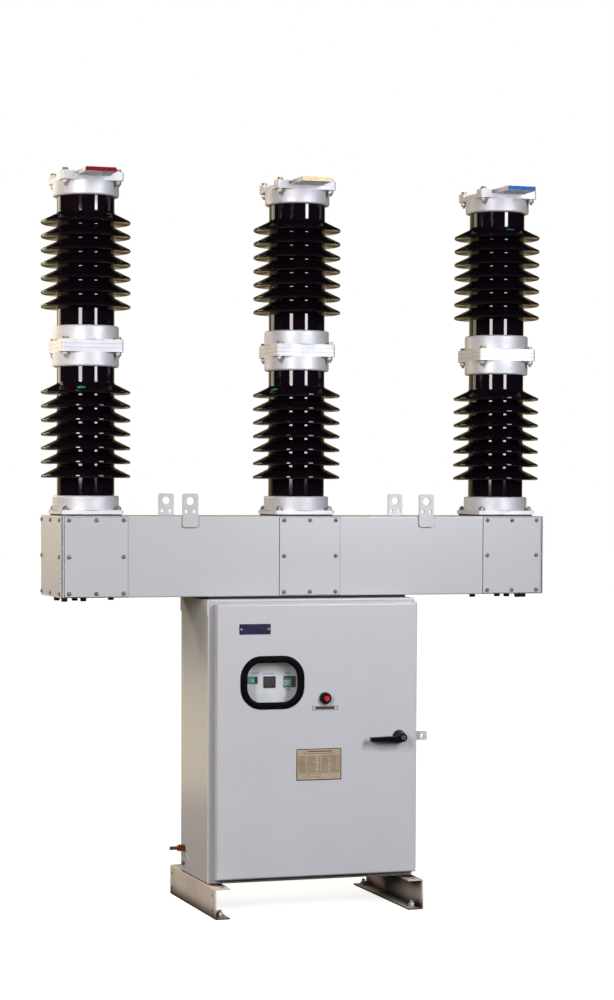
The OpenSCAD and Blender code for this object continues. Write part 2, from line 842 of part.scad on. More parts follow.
left_base_channel();
right_base_channel();
cabinet_floor();
gland_plate();
cabinet_left_side();
cabinet_right_side();
cabinet_back();
door_frame_top();
door_frame_bottom();
cabinet_roof();
roof_spacer();
mechanism_housing();
mechanism_plate();
indicators();
hinge_body_leaves();
cabinet_hasp();
earth_stud();
beam();
beam_front_covers();
beam_end_covers();
beam_end_gaskets();
lifting_lugs();
pole_gaskets();
base_fittings();
lower_insulators();
middle_lower_fittings();
middle_terminals();
middle_upper_fittings();
upper_insulators();
top_fittings();
top_terminals();
door();
hinge_door_leaves();
window_gasket();
window_pane();
nameplate();
rating_plate();
button_label();
button_bezel();
door_hasp();
handle_base();
trip_button();
handle_lever();
handle_lock();
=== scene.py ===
"""Looks of an outdoor three-pole vacuum circuit breaker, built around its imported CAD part.

Everything is in metres in the part's own frame: X along the row of poles, -Y to the door side,
Z up from the floor. Small parts such as bolts, screws and printed rules are made here.
"""

import json
import math

import bmesh
import bpy
from mathutils import Matrix, Vector


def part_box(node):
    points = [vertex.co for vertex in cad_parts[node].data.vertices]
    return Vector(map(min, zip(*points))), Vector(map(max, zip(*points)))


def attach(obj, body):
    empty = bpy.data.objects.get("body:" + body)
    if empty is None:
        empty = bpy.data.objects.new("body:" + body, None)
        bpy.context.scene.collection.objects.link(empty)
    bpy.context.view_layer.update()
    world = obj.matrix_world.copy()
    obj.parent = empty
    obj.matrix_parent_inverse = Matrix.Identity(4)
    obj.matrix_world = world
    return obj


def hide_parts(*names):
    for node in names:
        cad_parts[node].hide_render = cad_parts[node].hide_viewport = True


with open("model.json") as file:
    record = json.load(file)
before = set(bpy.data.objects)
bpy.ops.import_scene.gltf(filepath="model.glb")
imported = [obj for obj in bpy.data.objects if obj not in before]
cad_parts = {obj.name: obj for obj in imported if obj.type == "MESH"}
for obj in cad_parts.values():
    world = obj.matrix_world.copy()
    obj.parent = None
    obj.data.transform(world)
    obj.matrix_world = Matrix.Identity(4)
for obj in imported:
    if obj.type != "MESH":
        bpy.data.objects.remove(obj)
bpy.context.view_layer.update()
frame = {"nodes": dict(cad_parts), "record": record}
NODES = frame["nodes"]
SCENE = bpy.context.scene
MM = 0.001


# ---------------------------------------------------------------- places, read from the part
def low_high(node):
    """Lowest and highest corner of a part's node."""
    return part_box(node)


SHED_R = low_high("upper_insulators")[1].y
PHASE = low_high("upper_insulators")[1].x - SHED_R
PHASES = (-PHASE, 0.0, PHASE)
COLLAR_R = low_high("top_fittings")[1].y
FLANGE_T = 13 * MM
BOLT_OFF = COLLAR_R - 19.5 * MM  # flange bolts, from the pole's axis along X and Y
CORNERS = [(sx, sy) for sx in (-1, 1) for sy in (-1, 1)]
# Eight places round the edge of a plate, as steps from its middle.
EDGE_STEPS = [(i, k) for i in (-1, 0, 1) for k in (-1, 0, 1) if i or k]

BEAM_LOW, BEAM_HIGH = low_high("beam")
COVER_LOW, COVER_HIGH = low_high("beam_front_covers")
END_LOW, END_HIGH = low_high("beam_end_covers")
COVER_HALF = COVER_HIGH.x - PHASE
COVER_Z = (COVER_LOW.z + COVER_HIGH.z) / 2
CABINET_LOW = low_high("cabinet_left_side")[0]
MECH_Y = low_high("mechanism_plate")[0].y


# ---------------------------------------------------------------- colour and shader helpers
def srgb(code):
    """Linear colour of an sRGB hex value such as #C1C1C6."""
    def linear(v):
        return v / 12.92 if v <= 0.04045 else ((v + 0.055) / 1.055) ** 2.4

    return tuple(linear(int(code[i:i + 2], 16) / 255) for i in (1, 3, 5)) + (1.0,)


def add(tree, kind, sockets=None, **settings):
    """Adds one node with its settings. A socket takes a value, a node or one output of a node."""
    node = tree.nodes.new("ShaderNode" + kind)
    for key, value in settings.items():
        setattr(node, key, value)
    for key, value in (sockets or {}).items():
        socket = next(s for s in node.inputs if s.enabled and key in (s.name, s.identifier))
        if isinstance(value, bpy.types.Node):
            value = next(s for s in value.outputs if s.enabled)
        if isinstance(value, bpy.types.NodeSocket):
            tree.links.new(value, socket)
        else:
            socket.default_value = value
    return node


def finish(name, light, dark, patch_mm, rough, grain_mm, depth_mm, wear=None, **fixed):
    """A material whose two tones and gloss drift over patch_mm, with a relief of grain_mm.

    rough is the range of roughness. grain_mm is one size or its sizes along X, Y and Z, and
    depth_mm is how deep the relief is. wear is (colour, size in mm, share) of a third tone that
    shows in spots. The rest are fixed values of the shader's own sockets.
    """
    material = bpy.data.materials.new(name)
    material.use_nodes = True
    tree = material.node_tree
    skin = tree.nodes["Principled BSDF"]
    for key, value in fixed.items():
        skin.inputs[key.replace("_", " ")].default_value = value
    place = add(tree, "TexCoord").outputs["Object"]
    patches = add(tree, "TexNoise", {"Vector": place, "Scale": 1000 / patch_mm,
                                     "Detail": 3.0, "Roughness": 0.6})
    drift = add(tree, "MapRange", {"Value": patches, "From Min": 0.3, "From Max": 0.7},
                interpolation_type="SMOOTHSTEP")
    colour = add(tree, "Mix", {"Factor": drift, "A": srgb(light), "B": srgb(dark)},
                 data_type="RGBA")
    if wear:
        tone, size_mm, share = wear
        spots = add(tree, "TexNoise", {"Vector": place, "Scale": 1000 / size_mm,
                                       "Detail": 5.0, "Roughness": 0.7})
        worn = add(tree, "MapRange", {"Value": spots, "From Min": 0.72 - share / 2,
                                      "From Max": 0.82 - share / 2, "To Max": 0.7},
                   interpolation_type="SMOOTHSTEP")
        colour = add(tree, "Mix", {"Factor": worn, "A": colour, "B": srgb(tone)},
                     data_type="RGBA")
    gloss = add(tree, "MapRange", {"Value": patches, "From Min": 0.3, "From Max": 0.7,
                                   "To Min": rough[0], "To Max": rough[1]},
                interpolation_type="SMOOTHSTEP")
    if isinstance(grain_mm, (int, float)):
        grain_mm = (grain_mm,) * 3
    sized = add(tree, "Mapping", {"Vector": place, "Scale": [1000 / mm for mm in grain_mm]})
    grain = add(tree, "TexNoise", {"Vector": sized, "Scale": 1.0, "Detail": 2.0})
    relief = add(tree, "Bump", {"Height": grain, "Distance": depth_mm * MM})
    tree.links.new(colour.outputs[2], skin.inputs["Base Color"])
    tree.links.new(gloss.outputs[0], skin.inputs["Roughness"])
    tree.links.new(relief.outputs[0], skin.inputs["Normal"])
    return material


def shade_in_hollows(material, tone, reach_mm):
    """Paints shade onto a surface that other faces within reach_mm stand around, darkening it
    toward tone.
    """
    tree = material.node_tree
    base = tree.nodes["Principled BSDF"].inputs["Base Color"]
    unshaded = base.links[0].from_socket
    openness = add(tree, "AmbientOcclusion", {"Distance": reach_mm * MM}, samples=6)
    deep = add(tree, "MapRange", {"Value": openness.outputs["AO"], "From Min": 0.9,
                                  "From Max": 0.6}, interpolation_type="SMOOTHSTEP")
    colour = add(tree, "Mix", {"Factor": deep, "A": unshaded, "B": srgb(tone)}, data_type="RGBA")
    tree.links.new(colour.outputs[2], base)


# ---------------------------------------------------------------- materials
# Polyester powder coat baked on folded sheet: satin light grey, almost even, with faint clouds.
# Real orange peel is about 2 mm across, drawn 6 mm wide to show.
CABINET_COAT = finish("light_grey_powder_coat_cabinet", "#CBCBD0", "#C8C7CB", 260,
                      (0.2, 0.26), 6.0, 0.02, IOR=1.5)
# The beam's coat is the cabinet's coat painted a shade darker: painted shade for the lesser light
# on the beam.
SHADED_BEAM_COAT = finish("light_grey_powder_coat_beam_shaded", "#C4C4C7", "#C1C1C3", 320,
                   (0.2, 0.26), 6.0, 0.02, IOR=1.5)
# The same coat on rolled channel: rougher steel under it, dusty, with scuffs down to primer. Its
# warmer, lighter tan than the cabinet's is painted warm light.
CHANNEL_COAT = finish("powder_coat_on_rolled_channel", "#DAD2CA", "#D0C4B8", 140,
                      (0.5, 0.64), 4.0, 0.08, wear=("#8C7868", 9, 0.08), IOR=1.5,
                      Specular_IOR_Level=0.06)
# Painted shade: the channel coat darkens to near black inside the channels and in other hollows,
# where shade falls.
shade_in_hollows(CHANNEL_COAT, "#24161A", 60)
# Aluminium paint on sand castings: bright, cool and softly metallic.
# Moulding sand is 0.3 mm, drawn 3 mm to show.
SILVER = finish("aluminium_paint_on_sand_casting", "#E4E4E9", "#DADAE0", 60,
                (0.5, 0.58), 3.0, 0.08, Metallic=0.55)
# Brown glaze on wet-process porcelain: nearly black with a red depth, glassy, faintly wavy.
GLAZE = finish("brown_glazed_porcelain", "#0C0912", "#14080E", 45,
               (0.04, 0.06), 18.0, 0.008, IOR=1.5)
# Yellow passivated zinc of the flange bolts' heads: olive-gold metal with a mottled film.
YELLOW_ZINC = finish("yellow_passivated_zinc", "#BCA878", "#86744C", 7,
                     (0.34, 0.5), 1.5, 0.04, Metallic=0.55)
# Bright zinc plate of nuts, anchor bolts and rivets: pale metal, duller in patches.
BRIGHT_ZINC = finish("bright_zinc_plate", "#D8CCC8", "#A69894", 6,
                     (0.34, 0.5), 1.5, 0.04, Metallic=0.55)
# Dull zinc of the cover screws, lowest flange nuts, strap bolt and the lines in the middle
# flanges: violet-grey metal that still glints.
DULL_ZINC = finish("dull_zinc_plate", "#9A8C8C", "#6E6062", 4, (0.3, 0.42), 1.5, 0.04,
                   Metallic=0.4)
# Blackened steel of the bolts below the beam: almost no shine.
BLACK_STEEL = finish("blackened_steel", "#1C1716", "#120E0E", 6, (0.45, 0.6), 1.5, 0.04,
                     Metallic=0.6)
# Galvanised sheet: pale grey metal with spangle patches about 12 mm across.
ZINC_SHEET = finish("galvanised_sheet", "#B4B4B8", "#9A9AA0", 12, (0.36, 0.5), 3.0, 0.03,
                    Metallic=1.0)
# Drawn copper of the earth stud and its nuts: orange-brown metal, darker where it has oxidised.
COPPER = finish("drawn_copper", "#D08A50", "#8C4A28", 9, (0.24, 0.4), 1.5, 0.04, Metallic=1.0)
# Extruded EPDM rubber: matt black with a faint bloom.
EPDM = finish("black_epdm_rubber", "#030306", "#06060A", 30, (0.55, 0.7), 2.0, 0.05, IOR=1.5,
              Specular_IOR_Level=0.08)
# Rubber-bonded cork under the poles: dark red-brown, crumbly at 3 mm.
CORK = finish("rubber_bonded_cork", "#3A2420", "#241614", 5, (0.7, 0.85), 3.0, 0.15, IOR=1.5)
# Brushed-on sealant between roof and beam and round the front covers: dark, dull.
JOINT = finish("brushed_joint_sealant", "#1E1C1E", "#2A2626", 20, (0.6, 0.75), 3.0, 0.1,
               IOR=1.5)
# Brushed enamel of the phase marks: strong colour with brush lines 1.5 mm apart along X.
RED = finish("red_brushed_enamel", "#90121A", "#680C16", 14, (0.24, 0.36), (40, 3, 1.5), 0.1,
             IOR=1.5, Specular_IOR_Level=0.1)
YELLOW = finish("yellow_brushed_enamel", "#F2E0BA", "#E4C48E", 14, (0.24, 0.36), (40, 3, 1.5),
                0.1, IOR=1.5, Specular_IOR_Level=0.15)
BLUE = finish("blue_brushed_enamel", "#0E66B0", "#0A549A", 14, (0.24, 0.36), (40, 3, 1.5), 0.1,
              IOR=1.5, Specular_IOR_Level=0.1)
# Marking paint of the inspection dabs: green, half matt, thinner at its edges.
DAB_GREEN = finish("green_marking_paint", "#2A9468", "#186848", 9, (0.4, 0.55), 2.0, 0.05, IOR=1.5,
                   Specular_IOR_Level=0.2)
# Glass-filled nylon, moulded: black, slightly silky where hands wear it.
NYLON = finish("black_moulded_nylon", "#040408", "#08080C", 24, (0.26, 0.36), 1.2, 0.03,
               IOR=1.53, Specular_IOR_Level=0.12)
# ABS of the push button, moulded and glossy.
BUTTON_RED = finish("red_moulded_abs", "#D0282E", "#BC2026", 10, (0.18, 0.28), 2.0, 0.02,
                    IOR=1.53)
# Anodised aluminium of the nameplate: deep violet blue with rolling lines along X.
NAME_BLUE = finish("blue_anodised_aluminium", "#222040", "#2C2A48", 20, (0.34, 0.44),
                   (60, 2, 2), 0.02, IOR=1.5, Specular_IOR_Level=0.15)
# Sand anodised aluminium of the rating plate: dry beige, with rolling lines along X.
PLATE_TAN = finish("sand_anodised_aluminium", "#BCAA90", "#AC987E", 40, (0.38, 0.5),
                   (60, 2, 2), 0.02, IOR=1.5)
# Printed polycarbonate label below the button: pale, satin.
PLATE_PALE = finish("pale_printed_polycarbonate", "#C8C0BC", "#B8AEA8", 10, (0.4, 0.5), 2.0,
                    0.01, IOR=1.58)
# Screen-printed ink on the rating plate and button label: dark brown, matt.
PRINT = finish("brown_screen_print_ink", "#40302A", "#503C34", 6, (0.5, 0.6), 2.0, 0.01,
               IOR=1.5, Specular_IOR_Level=0.2)
# Stoved enamel of the mechanism's housing and front: cool pale grey behind the glass.
MECHANISM = finish("pale_stoved_enamel", "#E2DADE", "#D8D1D5", 120, (0.4, 0.5), 5.0, 0.02,
                   IOR=1.5)
# Die-cast zinc of the lock cylinder: plain bright metal.
LOCK_METAL = finish("die_cast_zinc", "#8A8A8C", "#68686A", 4, (0.26, 0.4), 1.5, 0.03,
                    Metallic=1.0)
# Printed flags behind the glass: satin green, nearly even. The lighter patch on one of them is a
# painted highlight.
GREEN_FLAG = finish("green_flag_print", "#0E8A66", "#0A7456", 8, (0.4, 0.5), 3.0, 0.01, IOR=1.5)
GREEN_HIGHLIGHT = finish("pale_green_painted_highlight", "#4ABF98", "#38A880", 5, (0.4, 0.5), 3.0, 0.01,
                    IOR=1.5)
# Moulded housing of the indicators: matt black, so that its openings look deep.
INDICATOR_BLACK = finish("black_indicator_housing", "#040405", "#070608", 12, (0.55, 0.7), 2.0,
                         0.01, IOR=1.5, Specular_IOR_Level=0.06)
# Moulded counter: dark brown face in a taupe frame, both with hardly any shine.
COUNTER_DARK = finish("dark_brown_moulded_counter", "#100608", "#180C0E", 6, (0.35, 0.45), 2.0,
                      0.01, IOR=1.53, Specular_IOR_Level=0.06)
COUNTER_FRAME = finish("taupe_moulded_counter_frame", "#523A3C", "#624A4C", 6, (0.4, 0.5), 2.0,
                       0.01, IOR=1.53, Specular_IOR_Level=0.06)
# Screen-printed inks of the words: white on the flag, blue on the enamel, both satin.
WHITE_PRINT = finish("white_screen_print_ink", "#E2ECE8", "#D0DCD6", 4, (0.5, 0.6), 2.0, 0.01,
                     IOR=1.5)
BLUE_PRINT = finish("blue_screen_print_ink", "#3A62A8", "#4A70B4", 4, (0.4, 0.5), 2.0, 0.01,
                    IOR=1.5)


def window_glass():
    """Float glass: clear and smooth with a thin film of dust, and it lets the lamps shine in."""
    material = finish("float_glass", "#FFFFFF", "#F0F6F4", 60, (0.0, 0.03), 60.0, 0.005,
                      IOR=1.45, Transmission_Weight=1.0, Specular_IOR_Level=0.2)
    tree = material.node_tree
    path = add(tree, "LightPath")
    inside = add(tree, "Math", {"Value": path.outputs["Is Shadow Ray"],
                                "Value_001": path.outputs["Is Diffuse Ray"]},
                 operation="MAXIMUM")
    clear = add(tree, "BsdfTransparent", {"Color": srgb("#F6FAFA")})
    pane = add(tree, "MixShader", {"Fac": inside, "Shader": tree.nodes["Principled BSDF"],
                                   "Shader_001": clear})
    tree.links.new(pane.outputs[0], tree.nodes["Material Output"].inputs["Surface"])
    return material


GLASS = window_glass()

FINISH = {
    CHANNEL_COAT: ("left_base_channel", "right_base_channel"),
    CABINET_COAT: ("cabinet_left_side", "cabinet_right_side", "cabinet_back", "cabinet_roof",
                   "door_frame_top", "door_frame_bottom", "cabinet_hasp", "door", "door_hasp"),
    ZINC_SHEET: ("cabinet_floor", "gland_plate", "hinge_body_leaves", "hinge_door_leaves"),
    SHADED_BEAM_COAT: ("beam", "beam_front_covers", "beam_end_covers", "lifting_lugs"),
    JOINT: ("roof_spacer",),
    EPDM: ("beam_end_gaskets", "window_gasket"),
    CORK: ("pole_gaskets",),
    MECHANISM: ("mechanism_housing", "mechanism_plate"),
    SILVER: ("base_fittings", "middle_lower_fittings", "middle_terminals",
             "middle_upper_fittings", "top_fittings", "top_terminals"),
    GLAZE: ("lower_insulators", "upper_insulators"),
    GLASS: ("window_pane",),
    NAME_BLUE: ("nameplate",),
    PLATE_TAN: ("rating_plate",),
    PLATE_PALE: ("button_label",),
    NYLON: ("button_bezel", "handle_base", "handle_lever"),
    INDICATOR_BLACK: ("indicators",),
    BUTTON_RED: ("trip_button",),
    LOCK_METAL: ("handle_lock",),
    COPPER: ("earth_stud",),
}
for coat, names in FINISH.items():
    for node_name in names:
        NODES[node_name].data.materials.clear()
        NODES[node_name].data.materials.append(coat)


# ---------------------------------------------------------------- mesh helpers
def facing(x, y, z, axis=(0, 0, 1)):
    """Place at (x, y, z) whose own Z points along axis."""
    turn_to = Vector((0, 0, 1)).rotation_difference(Vector(axis)).to_matrix().to_4x4()
    return Matrix.Translation((x, y, z)) @ turn_to


def turned(bm, place, profile, steps=28):
    """Adds a turned solid from (radius, height) points in mm; six steps make a hexagon."""
    rings = []
    for radius, height in profile:
        count = steps if radius > 0 else 1
        rings.append([bm.verts.new(place @ Vector((
            radius * MM * math.cos(2 * math.pi * i / steps),
            radius * MM * math.sin(2 * math.pi * i / steps), height * MM)))
            for i in range(count)])
    for a, b in zip(rings, rings[1:]):
        for i in range(steps):
            corners = [a[i % len(a)], a[(i + 1) % len(a)], b[(i + 1) % len(b)], b[i % len(b)]]
            corners = list(dict.fromkeys(corners))
            if len(corners) > 2:
                bm.faces.new(corners)


def slab(bm, place, outline, thickness):
    """Adds a flat plate: outline in mm in the place's X and Y, thickness along its Z."""
    bottom = [bm.verts.new(place @ Vector((x * MM, y * MM, 0))) for x, y in outline]
    top = [bm.verts.new(place @ Vector((x * MM, y * MM, thickness * MM))) for x, y in outline]
    bm.faces.new(list(reversed(bottom)))
    bm.faces.new(top)
    for i in range(len(outline)):
        j = (i + 1) % len(outline)
        bm.faces.new([bottom[i], bottom[j], top[j], top[i]])


def rounded(width, height, radius, steps=5):
    """Outline of a rectangle with rounded corners about its middle, in mm."""
    points = []
    for k, (sx, sy) in enumerate(((1, 1), (-1, 1), (-1, -1), (1, -1))):
        for i in range(steps + 1):
            angle = math.pi / 2 * (k + i / steps)
            points.append((sx * (width / 2 - radius) + radius * math.cos(angle),
                           sy * (height / 2 - radius) + radius * math.sin(angle)))
    return points


def bead(bm, points, radius, ripple=0.12, steps=8):
    """Adds a weld bead along points in metres: radius in mm, ripple as a share of it."""
    rings = []
    for k, point in enumerate(points):
        ahead = Vector(points[min(k + 1, len(points) - 1)])
        along = (ahead - Vector(points[max(k - 1, 0)])).normalized()
        side = along.orthogonal().normalized()
        up = along.cross(side)
        r = radius * MM * (1 + ripple * math.sin(k * 1.9))  # a ripple about each third point
        rings.append([bm.verts.new(Vector(point) + r * (
            side * math.cos(2 * math.pi * i / steps) + up * math.sin(2 * math.pi * i / steps)))
            for i in range(steps)])
    for a, b in zip(rings, rings[1:]):
        for i in range(steps):
            j = (i + 1) % steps
            bm.faces.new([a[i], a[j], b[j], b[i]])
    bm.faces.new(list(reversed(rings[0])))
    bm.faces.new(rings[-1])


def piece(name, build, coat, body, smooth_deg=35):
    """Makes a named piece from what build adds to an empty mesh, and lets it ride on a body."""
    bm = bmesh.new()
    build(bm)
    bmesh.ops.recalc_face_normals(bm, faces=bm.faces)
    mesh = bpy.data.meshes.new(name)
    bm.to_mesh(mesh)
    bm.free()
    mesh.polygons.foreach_set("use_smooth", [True] * len(mesh.polygons))
    mesh.set_sharp_from_angle(angle=math.radians(smooth_deg))
    mesh.materials.append(coat)
    made = bpy.data.objects.new(name, mesh)
    SCENE.collection.objects.link(made)
    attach(made, body)
    return made


# ---------------------------------------------------------------- fasteners, in mm
# Washer's radius and thickness and the width across flats, for each thread.
M8 = (8.0, 1.6, 13.0)
M10 = (10.5, 2.0, 16.0)
M10_WIDE = (10.5, 2.0, 17.0)
M12 = (12.0, 2.5, 18.0)
M10_NUT_H, M12_NUT_H = 8.0, 10.0


def hexagon(bm, place, across_flats, height):
    """Hexagon head or nut, chamfered at its free end."""
    r = across_flats / math.sqrt(3)
    turned(bm, place, [(0, 0), (r, 0), (r, height * 0.82), (r * 0.88, height), (0, height)], 6)


def washer(bm, place, radius, thickness):
    """Plain washer with broken edges."""
    turned(bm, place, [(0, 0), (radius, 0), (radius, thickness * 0.7),
                       (radius - thickness * 0.4, thickness), (0, thickness)])


def threaded_end(bm, place, radius, length, pitch=1.5):
    """End of a bolt: thread turns as small ridges, with a chamfered tip."""
    groove, chamfer = 0.6, 1.2
    profile = [(0, 0)]
    turns = max(1, int((length - 1) / pitch))
    for i in range(turns):
        profile += [(radius, i * pitch), (radius - groove, (i + 0.5) * pitch)]
    profile += [(radius, turns * pitch), (radius - chamfer, length), (0, length)]
    turned(bm, place, profile, 20)


def lift(place, height):
    """The same place, height mm further along its axis."""
    return place @ Matrix.Translation((0, 0, height * MM))


def hexagon_on_washer(bm, place, thread, height):
    """A washer with a head or nut of one thread on it; returns the place on top."""
    radius, thickness, across_flats = thread
    washer(bm, place, radius, thickness)
    hexagon(bm, lift(place, thickness), across_flats, height)
    return lift(place, thickness + height)


def bolt_head(bm, x, y, z):
    """M10 head with its washer on top of a flange."""
    hexagon_on_washer(bm, facing(x, y, z), M10, height=6.6)


def bolt_nut(bm, x, y, z):
    """M10 washer, spring washer, nut and bolt end below a flange."""
    down = facing(x, y, z, (0, 0, -1))
    radius, thickness, across_flats = M10
    ring_r, ring_t = 8.4, 2.2
    washer(bm, down, radius, thickness)
    down = lift(down, thickness)
    turned(bm, down, [(0, 0), (ring_r, 0), (ring_r, ring_t), (0, ring_t)], 24)
    down = lift(down, ring_t)
    hexagon(bm, down, across_flats, M10_NUT_H)
    threaded_end(bm, lift(down, M10_NUT_H), radius=5.0, length=6.5)


def flange_stud(bm, x, y, z):
    """M10 stud with washer and nut on top of the lowest flange."""
    top = hexagon_on_washer(bm, facing(x, y, z), M10, M10_NUT_H)
    threaded_end(bm, top, radius=5.0, length=3.5)


def at_corners(place_bolt, *heights):
    """Places one kind of bolt at the four flange corners of each pole, at each height."""
    def build(bm):
        for z in heights:
            for px in PHASES:
                for sx, sy in CORNERS:
                    place_bolt(bm, px + sx * BOLT_OFF, sy * BOLT_OFF, z)

    return build


TOP_HEAD_Z = low_high("top_terminals")[1].z
TOP_NUT_Z = low_high("top_fittings")[1].z - FLANGE_T
MIDDLE_HEAD_Z = low_high("middle_terminals")[1].z + FLANGE_T
MIDDLE_NUT_Z = low_high("middle_terminals")[0].z - FLANGE_T
BASE_NUT_Z = low_high("base_fittings")[0].z + FLANGE_T
for name, build, coat in (
        ("flange_bolt_heads", at_corners(bolt_head, TOP_HEAD_Z, MIDDLE_HEAD_Z), YELLOW_ZINC),
        ("flange_bolt_nuts", at_corners(bolt_nut, TOP_NUT_Z, MIDDLE_NUT_Z), BRIGHT_ZINC),
        ("base_flange_nuts", at_corners(flange_stud, BASE_NUT_Z), DULL_ZINC)):
    piece(name, build, coat, "breaker")


def pan_screw(bm, place):
    """M6 pan-head screw on a washer, with a shallow dimple for its cross slot."""
    radius, height, washer_t = 5.6, 4.2, 1.2
    washer(bm, place, 6.8, washer_t)
    turned(bm, lift(place, washer_t),
           [(0, 0), (radius, 0), (radius, height * 0.35), (radius * 0.86, height * 0.75),
            (radius * 0.55, height), (radius * 0.3, height), (0, height - 1.6)], 24)


def cover_screws(bm):
    """Eight screws on each front cover of the beam and eight on each end cover."""
    from_edge_z, from_edge_y, pitch_x = 9.5, 15, 87
    dx = pitch_x * MM
    dy = (BEAM_HIGH.y - BEAM_LOW.y) / 2 - from_edge_y * MM
    dz = (COVER_HIGH.z - COVER_LOW.z) / 2 - from_edge_z * MM
    for px in PHASES:
        for i, k in EDGE_STEPS:
            pan_screw(bm, facing(px + i * dx, COVER_LOW.y, COVER_Z + k * dz, (0, -1, 0)))
    for side, x in ((-1, END_LOW.x), (1, END_HIGH.x)):
        for i, k in EDGE_STEPS:
            pan_screw(bm, facing(x, i * dy, COVER_Z + k * dz, (side, 0, 0)))


piece("cover_screws", cover_screws, DULL_ZINC, "breaker")


def cover_joints(bm):
    """Sealing strip that shows as a thin dark line round each front cover."""
    strip_w, strip_t, corner = 1.2, 1.4, 0.5
    out = strip_w / 2 * MM
    width, height = 2 * COVER_HALF / MM, (COVER_HIGH.z - COVER_LOW.z) / MM
    for px in PHASES:
        for side in (-1, 1):
            place = facing(px + side * (COVER_HALF + out), BEAM_LOW.y, COVER_Z, (0, -1, 0))
            slab(bm, place, rounded(strip_w, height, corner, steps=2), strip_t)
        for z in (COVER_LOW.z - out, COVER_HIGH.z + out):
            place = facing(px, BEAM_LOW.y, z, (0, -1, 0))
            slab(bm, place, rounded(width, strip_w, corner, steps=2), strip_t)


piece("cover_joints", cover_joints, JOINT, "breaker")


def flange_joints(bm):
    """Fine lines where the middle flanges meet the terminal plate between them."""
    line = 0.7
    proud, corner_r = 0.1, 7.1
    size = -2 * low_high("middle_terminals")[0].y / MM + 2 * proud
    for px in PHASES:
        for corner in low_high("middle_terminals"):
            place = facing(px, 0, corner.z - line / 2 * MM)
            slab(bm, place, rounded(size, size, corner_r), line)


piece("flange_joint_lines", flange_joints, DULL_ZINC, "breaker")


# ---------------------------------------------------------------- phase marks on the pad ends
def phase_mark(px):
    """Builder of a thin coat of enamel over the front end of a top pad."""
    low, high = low_high("top_terminals")
    width, height = 97.5, (high.z - low.z) / MM - 0.6

    def build(bm):
        place = facing(px, low.y, (low.z + high.z) / 2, (0, -1, 0))
        slab(bm, place, rounded(width, height, radius=1.5), thickness=0.25)

    return build


for px, coat, colour in zip(PHASES, (RED, YELLOW, BLUE), ("red", "yellow", "blue")):
    piece(colour + "_phase_mark", phase_mark(px), coat, "breaker")


# ---------------------------------------------------------------- inspection dabs on the porcelain
def shed_dab(bm, node, px, azimuth, radius, width, run):
    """Dab of marking paint, width by run mm, on the upper side of an insulator's top shed.

    It lies at an azimuth in degrees from +X and a radius in mm from the pole's axis.
    """
    # The shed's tip: how far below the node's top, its upper side, and how far in that starts.
    tip_drop, tip_top, tip_in = 124, 4.5, 2.8
    tip = low_high(node)[1].z / MM - tip_drop
    slope = math.tan(math.radians(26))  # of the shed's upper side
    steps = 16

    def spot(share, turn, above):
        """Corner of the dab at a share of its size, above mm over the glaze."""
        r = radius + run / 2 * share * math.sin(turn) * (1 + 0.15 * math.cos(3 * turn))
        a = math.radians(azimuth) + width / 2 * share * math.cos(turn) / radius
        z = tip + tip_top + (SHED_R / MM - tip_in - r) * slope + above
        return bm.verts.new((px + r * MM * math.cos(a), r * MM * math.sin(a), z * MM))

    rings = [[spot(0, 0, 0.8)] * steps]
    for share, above in ((0.4, 0.75), (0.75, 0.6), (1.0, 0.2), (1.0, -0.4)):
        rings.append([spot(share, 2 * math.pi * i / steps, above) for i in range(steps)])
    rings.append([spot(0, 0, -0.4)] * steps)
    for inner, outer in zip(rings, rings[1:]):
        for i in range(steps):
            j = (i + 1) % steps
            bm.faces.new(list(dict.fromkeys([inner[i], inner[j], outer[j], outer[i]])))


def shed_dabs(bm):
    """The dabs that an inspector left on the poles."""
    for node, px, azimuth, radius, width, run in (
            ("lower_insulators", -PHASE, -110, 122, 28, 16),
            ("upper_insulators", -PHASE, -161, 104, 18, 9),
            ("upper_insulators", -PHASE, -58, 105, 22, 7),
            ("lower_insulators", 0, -148, 111, 26, 14),
            ("upper_insulators", PHASE, -88, 106, 30, 9)):
        shed_dab(bm, node, px, azimuth, radius, width, run)


piece("inspection_dabs", shed_dabs, DAB_GREEN, "breaker")


# ---------------------------------------------------------------- beam: weld beads, bolts below
def lug_beads(bm):
    """Fillet welds along the sides and bottom of each lifting lug where it lies on the beam."""
    low, high = low_high("lifting_lugs")
    lug_half, corner, out = 25 * MM, 8 * MM, 0.5 * MM  # out: the bead's line beside the edge
    bend = corner + out
    flat_half = lug_half - corner
    top, pitch = 4 * MM, 2.9 * MM  # where the bead starts below the beam's top, and its steps
    drops = [top + i * pitch for i in range(9)]
    for sx in (-1, 1):
        for y in (BEAM_LOW.y, BEAM_HIGH.y):
            x0 = sx * ((high.x - low.x) / 2 - lug_half)
            left = [(x0 - lug_half - out, y, BEAM_HIGH.z - drop) for drop in drops]
            bottom = [(x0 - flat_half + 2 * flat_half * i / 12, y, low.z - out)
                      for i in range(1, 12)]
            right = [(x0 + lug_half + out, y, BEAM_HIGH.z - drop) for drop in reversed(drops)]
            bends = [[(x0 + side * flat_half + bend * math.cos(start + math.pi / 2 * i / 4), y,
                       low.z + corner + bend * math.sin(start + math.pi / 2 * i / 4))
                      for i in range(5)] for side, start in ((-1, math.pi), (1, -math.pi / 2))]
            bead(bm, left + bends[0] + bottom + bends[1] + right, radius=1.9)


piece("lug_weld_beads", lug_beads, SHADED_BEAM_COAT, "breaker", smooth_deg=80)

# Where the bolts below the beam stand: X and Y in mm.
PLUGS = [(-803, -44), (-800, -136), (-752, -70), (-736, -120), (-630, -48),
         (582, -93), (681, -66), (706, -88), (724, -136), (746, -130)]


